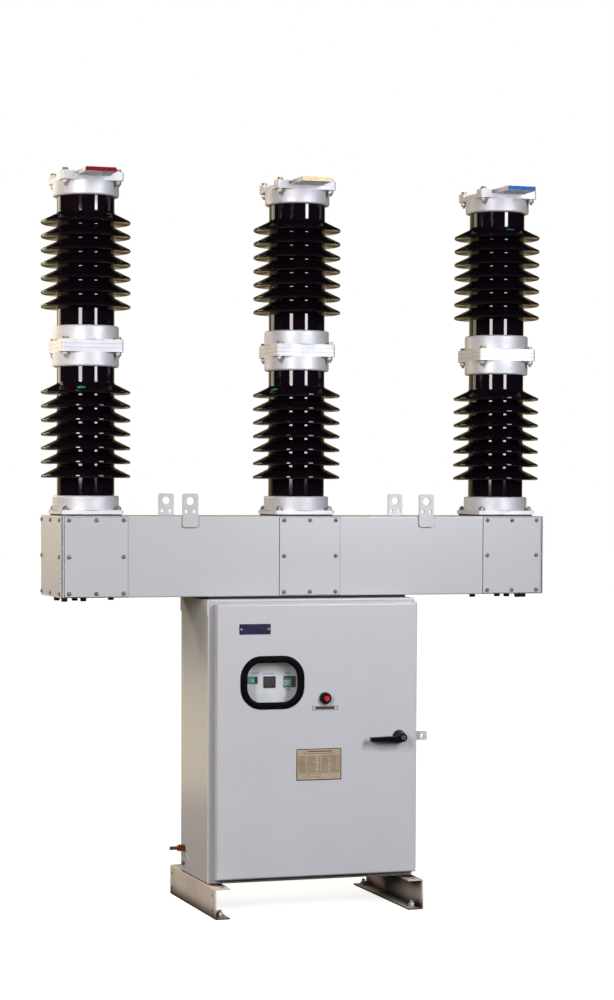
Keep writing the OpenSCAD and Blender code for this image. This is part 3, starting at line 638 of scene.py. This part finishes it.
def beam_plugs(bm):
    """Hexagon heads of the fixings that hold the drive inside the beam, seen from below."""
    for x, y in PLUGS:
        hexagon_on_washer(bm, facing(x * MM, y * MM, BEAM_LOW.z, (0, 0, -1)), M10_WIDE,
                          height=9.0)


piece("beam_underside_bolts", beam_plugs, BLACK_STEEL, "breaker")


# ---------------------------------------------------------------- earth stud and strap
STUD_LOW, STUD_HIGH = low_high("earth_stud")
EARTH_Y, EARTH_Z = (STUD_LOW.y + STUD_HIGH.y) / 2, (STUD_LOW.z + STUD_HIGH.z) / 2
STRAP_T = 2.5


def from_stud(y=0.0, z=0.0, out=0.0):
    """Place on the cabinet's left side, y, z and out in mm from the foot of the earth stud."""
    return facing(CABINET_LOW.x - out * MM, EARTH_Y + y * MM, EARTH_Z + z * MM, (-1, 0, 0))


def earth_nuts(bm):
    """A thick nut near the cabinet and a thin one on it, each with its washer."""
    thin_nut_h = 8.0
    top = hexagon_on_washer(bm, from_stud(out=3.0), M12, M12_NUT_H)
    hexagon_on_washer(bm, top, M12, thin_nut_h)


def earth_strap(bm):
    """Flat bracket that slants from the stud down to its bolt near the foot of the cabinet."""
    lean = 0.42
    outline = rounded(width=72, height=44, radius=4)
    slab(bm, from_stud(y=-2, z=-38) @ Matrix.Rotation(math.pi / 2, 4, "Z"),
         [(a, b - lean * a) for a, b in outline], STRAP_T)


def strap_bolt(bm):
    """Bolt head with its washer on the lower end of the bracket."""
    hexagon_on_washer(bm, from_stud(z=-50, out=STRAP_T), M8, height=5.5)


piece("earth_nuts", earth_nuts, COPPER, "breaker")
piece("earth_strap", earth_strap, CABINET_COAT, "breaker")
piece("earth_strap_bolt", strap_bolt, DULL_ZINC, "breaker")


# ---------------------------------------------------------------- anchor bolts in the channels
FOOT = next(m for m in frame["record"]["mounts"] if m["name"] == "foot_bolts")
ANCHOR_X = FOOT["dims"]["spacing_x_mm"] / 2 * MM
ANCHOR_Y = FOOT["dims"]["spacing_y_mm"] / 2 * MM
CHANNEL_T = 5 * MM


def anchor_bolts(bm):
    """M12 washer, nut and bolt end on the lower flange of the channels, at the four anchors."""
    for sx, sy in CORNERS:
        foot = facing(sx * ANCHOR_X, sy * ANCHOR_Y, CHANNEL_T)
        top = hexagon_on_washer(bm, foot, M12, M12_NUT_H)
        threaded_end(bm, top, radius=6.0, length=8.0, pitch=1.75)


piece("anchor_bolts", anchor_bolts, BRIGHT_ZINC, "breaker")


# ---------------------------------------------------------------- plates on the door
INK_T = 0.15  # printed lines stand this far out, in mm


def door_place(node):
    """Place in the middle of a plate on the door, facing out, with its X to the right."""
    low, high = low_high(node)
    return Matrix.Translation(((low.x + high.x) / 2, low.y, (low.z + high.z) / 2)) \
        @ Matrix.Rotation(math.pi / 2, 4, "X")


def plate_size(node):
    """Width and height of a plate on the door, in mm."""
    low, high = low_high(node)
    return (high.x - low.x) / MM, (high.z - low.z) / MM


def rule(bm, place, x0, x1, y, width):
    """One printed line across a plate, from x0 to x1 in mm."""
    slab(bm, place, [(x0, y - width / 2), (x1, y - width / 2),
                     (x1, y + width / 2), (x0, y + width / 2)], INK_T)


def post(bm, place, x, y0, y1, width):
    """One printed line up a plate, from y0 to y1 in mm."""
    slab(bm, place, [(x - width / 2, y0), (x + width / 2, y0),
                     (x + width / 2, y1), (x - width / 2, y1)], INK_T)


def frame_lines(bm, place, width, height, line):
    """Printed border of a plate."""
    for s in (-1, 1):
        rule(bm, place, -width / 2, width / 2, s * (height / 2 - line / 2), line)
        post(bm, place, s * (width / 2 - line / 2), -height / 2 + line, height / 2 - line, line)


def rating_rules(bm):
    """Dark border and an empty ruled form on the rating plate, with nothing written in it."""
    place = door_place("rating_plate")
    w, h = plate_size("rating_plate")
    frame_lines(bm, place, w, h, 2.6)
    fine, bar, rows = 1.0, 1.5, 7
    top, bottom = h / 2 - 24, -h / 2 + 24
    left, right = -w / 2 + 8, w / 2 - 8
    # the form's lines and its columns
    for i in range(rows + 1):
        rule(bm, place, left, right, top + (bottom - top) * i / rows, fine)
    for x in (left, -w / 2 + 40, 2, w / 2 - 38, right):
        post(bm, place, x, bottom, top, fine)
    # two bars for a heading above it
    rule(bm, place, -w / 2 + 36, w / 2 - 32, h / 2 - 9, 3.2)
    rule(bm, place, -w / 2 + 24, w / 2 - 22, h / 2 - 16, 1.4)
    # an empty box below it
    box_left, box_right, box_top, box_bottom = -w / 2 + 38, 4, bottom - 6, bottom - 13
    for y in (box_top, box_bottom):
        rule(bm, place, box_left, box_right, y, fine)
    for x in (box_left, box_right):
        post(bm, place, x, box_bottom, box_top, fine)
    # a bar in each of its fields
    for i in range(rows):
        y = top + (bottom - top) * (i + 0.5) / rows
        for x0, x1 in ((left + 3, left + 24), (-w / 2 + 44, -w / 2 + 64), (7, 30),
                       (w / 2 - 33, w / 2 - 15 - 3 * (i % 3))):
            rule(bm, place, x0, x1, y, bar)


def label_bar(bm):
    """Plain printed bar and border on the label below the push button."""
    place = door_place("button_label")
    w, h = plate_size("button_label")
    bar_half = w / 2 - 11
    frame_lines(bm, place, w, h, 1.0)
    rule(bm, place, -bar_half, bar_half, 0, h - 5.5)


def plate_rivets(bm):
    """Blind rivets at the ends of the nameplate and in the corners of the rating plate."""
    from_end, from_edge = 6.5, 6
    domed = [(0, 0), (3.6, 0), (3.2, 1.2), (1.6, 2.0), (0, 2.2)]
    hollow = [(0, 0), (2.2, 0), (1.9, 0.9), (0.9, 1.4), (0, 1.0)]
    place = door_place("nameplate")
    w, _ = plate_size("nameplate")
    for s in (-1, 1):
        spot = Matrix.Translation((s * (w / 2 - from_end) * MM, 0, 0))
        turned(bm, place @ spot, domed, 20)
    place = door_place("rating_plate")
    w, h = plate_size("rating_plate")
    for sx, sy in CORNERS:
        spot = Matrix.Translation((sx * (w / 2 - from_edge) * MM, sy * (h / 2 - from_edge) * MM, 0))
        turned(bm, place @ spot, hollow, 16)


piece("rating_plate_form", rating_rules, PRINT, "cabinet_door")
piece("button_label_bar", label_bar, PRINT, "cabinet_door")
piece("plate_rivets", plate_rivets, BRIGHT_ZINC, "cabinet_door")


# ---------------------------------------------------------------- window rubber
def window_rubber(bm):
    """Rubber section: rounded outer face, groove for the glass and a lip behind the skin."""
    low, high = low_high("window_gasket")
    w, h = plate_size("window_gasket")
    band, corner = 22.0, 70.0
    depth = (high.y - low.y) / MM
    inner_w, inner_h, inner_r = w - 2 * band, h - 2 * band, corner - band
    place = door_place("window_gasket")
    # (distance outside the clear opening, depth behind the outermost face)
    section = [(0.0, depth), (0.0, 3.0), (1.2, 1.4), (3.2, 0.4), (6.0, 0.0), (12.0, 0.0),
               (16.5, 0.7), (19.8, 2.2), (21.6, 4.4), (band, 7.0), (7.0, 7.0), (7.0, 9.0),
               (15.0, 9.0), (15.0, depth)]
    loops = []
    for out, back in section:
        outline = rounded(inner_w + 2 * out, inner_h + 2 * out, inner_r + out, steps=14)
        loops.append([bm.verts.new(place @ Vector((x * MM, y * MM, -back * MM)))
                      for x, y in outline])
    for a, b in zip(loops, loops[1:] + loops[:1]):
        for i in range(len(a)):
            j = (i + 1) % len(a)
            bm.faces.new([a[i], a[j], b[j], b[i]])


rubber_piece = piece("rounded_window_rubber", window_rubber, EPDM, "cabinet_door",
                     smooth_deg=50)
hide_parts("window_gasket")


# ---------------------------------------------------------------- indicators behind the window
FRAME_OUT = 3.0  # the indicators' frames stand this far out from the mechanism's front
DASH_PITCH = 3.4  # from dash to dash of a caption


def behind(x, z, forward):
    """Place on the mechanism's front, x and z in mm from the window's centre, forward in mm."""
    low, high = low_high("window_pane")
    middle = Matrix.Translation(((low.x + high.x) / 2 + x * MM, MECH_Y - forward * MM,
                                 (low.z + high.z) / 2 + z * MM))
    return middle @ Matrix.Rotation(math.pi / 2, 4, "X")


def flat(x, z, width, height, forward, thickness):
    """Builder of one small plate on the mechanism's front."""
    def build(bm):
        slab(bm, behind(x, z, forward), rounded(width, height, 1.0, steps=3), thickness)

    return build


for name, coat, x, z, width, height, thickness in (
        ("charge_flag", GREEN_FLAG, -57.5, 5, 24, 19, 0.4),
        # The pale patch on the charge flag is a painted highlight.
        ("charge_flag_painted_highlight", GREEN_HIGHLIGHT, -52, 4, 7, 9, 0.8),
        ("counter_rim", COUNTER_FRAME, 1, -1, 33, 21, 0.5),
        ("counter_slot", COUNTER_DARK, 0, -1, 29, 16, 0.9),
        ("position_flag", GREEN_FLAG, 65, -4, 26, 29, 0.4)):
    piece(name, flat(x, z, width, height, FRAME_OUT, thickness), coat, "breaker")
# Rows of dashes that stand for the captions above the flag and the counter.
for name, x, z, count in (("charge_label", -43, 27, 7), ("counter_label", 2, 24.5, 11)):
    for i in range(count):
        dash_x = x + DASH_PITCH * (i - (count - 1) / 2)
        piece(f"{name}_{i}", flat(dash_x, z, 2.2, 4.0, 0.0, 0.3),
              BLUE_PRINT, "breaker")


def words(name, text, place, size_mm, coat, squeeze=1.0):
    """Makes flat generic lettering such as ON, OFF or counter digits, squeezed in width."""
    curve = bpy.data.curves.new(name, "FONT")
    curve.body = text
    curve.size = size_mm * MM
    curve.align_x, curve.align_y = "CENTER", "CENTER"
    curve.extrude = 0.15 * MM
    curve.offset = 0.25 * MM
    shown = bpy.data.objects.new(name, curve)
    SCENE.collection.objects.link(shown)
    bpy.context.view_layer.update()
    mesh = bpy.data.meshes.new_from_object(shown)
    bpy.data.objects.remove(shown)
    mesh.transform(place @ Matrix.Diagonal((squeeze, 1, 1, 1)))
    mesh.materials.clear()
    mesh.materials.append(coat)
    made = bpy.data.objects.new(name, mesh)
    SCENE.collection.objects.link(made)
    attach(made, "breaker")


words("flag_lettering", "OFF", behind(62.5, -6, FRAME_OUT + 0.55), 23.5, WHITE_PRINT,
      0.56)
words("counter_digits", "0042", behind(-1, -0.5, FRAME_OUT + 1.05), 11, COUNTER_FRAME,
      0.9)
words("off_lettering", "OFF", behind(67, 25.5, 0.2), 9.5, BLUE_PRINT)
words("on_lettering", "ON", behind(66, -27.5, 0.2), 10.5, BLUE_PRINT)


# ---------------------------------------------------------------- floor, lights and camera
WHITE = (1, 1, 1, 1)
FLOOR_PAINT = srgb("#C8C4BE")
FLOOR_FRONT = srgb("#2E2A28")
FLOOR_NEAR = srgb("#6A5A40")
FLOOR_REAR = srgb("#E6D6A6")
FLOOR_FAR = srgb("#6A5A46")
ROOM = srgb("#2A2A2E")
ROOM_RIGHT = srgb("#8E8262")
MIRROR_FRONT = srgb("#141214")
MIRROR_REAR = srgb("#B4A474")


def seen_white(tree):
    """Two outputs: seen by the camera or through glass, and seen in a shiny face."""
    path = add(tree, "LightPath")
    seen = add(tree, "Math", {"Value": path.outputs["Is Camera Ray"],
                              "Value_001": path.outputs["Is Transmission Ray"]},
               operation="MAXIMUM")
    return seen, path.outputs["Is Glossy Ray"]


def stage_floor():
    """Plain floor, white with the part's soft shadow where it is seen.

    Shiny faces see bands of tone in it instead: one in front, one near, one at the rear and one
    far out. To all rays that aren't seen its paint is dark, so it bounces little light.
    """
    mesh = bpy.data.meshes.new("floor")
    size = 40.0
    mesh.from_pydata([(-size, -size, 0), (size, -size, 0), (size, size, 0), (-size, size, 0)],
                     [], [(0, 1, 2, 3)])
    floor = bpy.data.objects.new("floor", mesh)
    SCENE.collection.objects.link(floor)
    material = bpy.data.materials.new("pale_painted_floor")
    material.use_nodes = True
    tree = material.node_tree
    tree.nodes.clear()
    place = add(tree, "TexCoord").outputs["Object"]
    far = add(tree, "VectorMath", {"Vector": place}, operation="LENGTH")
    seen, mirrored = seen_white(tree)
    white = add(tree, "MapRange", {"Value": far, "From Min": 1.0, "From Max": 3.0,
                                   "To Min": 0.84, "To Max": 1.0},
                interpolation_type="SMOOTHSTEP")
    axes = add(tree, "SeparateXYZ", {"Vector": place})
    rear = add(tree, "MapRange", {"Value": axes.outputs["Y"], "From Min": -1.0,
                                  "From Max": 1.0}, interpolation_type="SMOOTHSTEP")
    apart = add(tree, "MapRange", {"Value": far, "From Min": 3.0, "From Max": 3.2})
    beige = add(tree, "Mix", {"Factor": apart, "A": FLOOR_NEAR, "B": FLOOR_REAR},
                data_type="RGBA")
    wall = add(tree, "MapRange", {"Value": far, "From Min": 8.0, "From Max": 13.0})
    beige = add(tree, "Mix", {"Factor": wall, "A": beige, "B": FLOOR_FAR}, data_type="RGBA")
    beige = add(tree, "Mix", {"Factor": rear, "A": FLOOR_FRONT, "B": beige},
                data_type="RGBA")
    tone = add(tree, "Mix", {"Factor": seen, "A": beige, "B": WHITE}, data_type="RGBA")
    shown = add(tree, "Math", {"Value": seen, "Value_001": mirrored}, operation="MAXIMUM")
    white = add(tree, "Math", {"Value": white, "Value_001": shown}, operation="MULTIPLY")
    paint = add(tree, "Mix", {"Factor": seen, "A": FLOOR_FRONT, "B": FLOOR_PAINT},
                data_type="RGBA")
    plain = add(tree, "BsdfDiffuse", {"Color": paint})
    glow = add(tree, "Emission", {"Color": tone, "Strength": white})
    both = add(tree, "AddShader", {"Shader": plain, "Shader_001": glow})
    add(tree, "OutputMaterial", {"Surface": both})
    mesh.materials.append(material)


def stage_world():
    """Soft studio surroundings: white where they are seen, and a plain even light on the part."""
    world = bpy.data.worlds.new("studio")
    SCENE.world = world
    world.use_nodes = True
    tree = world.node_tree
    tree.nodes.clear()
    axes = add(tree, "SeparateXYZ", {"Vector": add(tree, "TexCoord").outputs["Generated"]})
    right = add(tree, "MapRange", {"Value": axes.outputs["X"], "From Min": 0.3,
                                   "From Max": 0.95}, interpolation_type="SMOOTHSTEP")
    room = add(tree, "Mix", {"Factor": right, "A": ROOM, "B": ROOM_RIGHT}, data_type="RGBA")
    rear = add(tree, "MapRange", {"Value": axes.outputs["Y"], "From Min": 0.6,
                                  "From Max": 0.86}, interpolation_type="SMOOTHSTEP")
    low = add(tree, "MapRange", {"Value": axes.outputs["Z"], "From Min": 0.35,
                                 "From Max": 0.1}, interpolation_type="SMOOTHSTEP")
    rear = add(tree, "Math", {"Value": rear, "Value_001": low}, operation="MULTIPLY")
    mirrored = add(tree, "Mix", {"Factor": rear, "A": MIRROR_FRONT, "B": MIRROR_REAR},
                   data_type="RGBA")
    seen, glossy = seen_white(tree)
    colour = add(tree, "Mix", {"Factor": glossy, "A": room, "B": mirrored}, data_type="RGBA")
    colour = add(tree, "Mix", {"Factor": seen, "A": colour, "B": WHITE}, data_type="RGBA")
    light = add(tree, "Background", {"Color": colour, "Strength": 1.0})
    add(tree, "OutputWorld", {"Surface": light})


def softbox(name, azimuth, distance, height, size, power, code, aim=1.9, glossy=True):
    """Area lamp at an azimuth in degrees from +X that looks at the part's axis at height aim.

    size is (width, height) in metres; with glossy off it doesn't show in shiny faces.
    """
    lamp = bpy.data.lights.new(name, "AREA")
    lamp.shape = "RECTANGLE"
    lamp.size, lamp.size_y = size
    lamp.energy = power
    lamp.color = srgb(code)[:3]
    made = bpy.data.objects.new(name, lamp)
    SCENE.collection.objects.link(made)
    a = math.radians(azimuth)
    made.location = (distance * math.cos(a), distance * math.sin(a), height)
    look = Vector((0, 0, aim)) - made.location
    made.rotation_euler = look.to_track_quat("-Z", "Y").to_euler()
    made.visible_glossy = glossy
    made.visible_camera = False


def stage_camera():
    """Camera on the left of the door side, eye height, level to within three degrees."""
    yaw, pitch, roll = (math.radians(degrees) for degrees in (18.392, -2.485, 0.235))
    sideways, back, eye_height = 0.03705, 8.0468, 1.3512
    level = Vector((math.sin(yaw), math.cos(yaw), 0.0))
    across = Vector((math.cos(yaw), -math.sin(yaw), 0.0))
    ahead = level * math.cos(pitch) + Vector((0, 0, math.sin(pitch)))
    up = across.cross(ahead)
    right = across * math.cos(roll) + up * math.sin(roll)
    up = up * math.cos(roll) - across * math.sin(roll)
    data = bpy.data.cameras.new("camera")
    data.sensor_width = 36.0
    data.lens = 88.996
    data.shift_y = 0.0958
    data.clip_end = 200.0
    camera = bpy.data.objects.new("camera", data)
    SCENE.collection.objects.link(camera)
    turn_to = Matrix((right, up, -ahead)).transposed().to_4x4()
    spot = across * sideways - level * back + Vector((0, 0, eye_height))
    camera.matrix_world = Matrix.Translation(spot) @ turn_to
    SCENE.camera = camera


stage_floor()
stage_world()
softbox("right_softbox", -68, 6.0, 2.2, (1.15, 1.5), 104, "#F6F8FC")
softbox("left_softbox", -130, 6.0, 2.1, (1.3, 1.4), 90, "#FFFCFA")
softbox("high_right_softbox", -66, 6.0, 3.8, (1.2, 2.4), 98, "#F0F5FF", aim=1.2)
softbox("high_right_light", -66, 6.0, 4.2, (1.2, 1.2), 90, "#EEF4FF", aim=1.2, glossy=False)
softbox("high_left_softbox", -130, 6.0, 3.9, (0.9, 1.8), 118, "#FFFAF6", aim=1.2)
softbox("rear_left_softbox", 135, 2.6, 2.3, (1.1, 1.3), 13, "#FFEED8", aim=1.2)
softbox("rear_left_light", 135, 2.6, 2.3, (0.45, 0.45), 20, "#FFECD0", aim=1.2, glossy=False)
softbox("left_light", 180, 2.2, 2.0, (0.9, 0.9), 21, "#FFF0E0", aim=1.0, glossy=False)
stage_camera()
SCENE.view_settings.view_transform = "Standard"
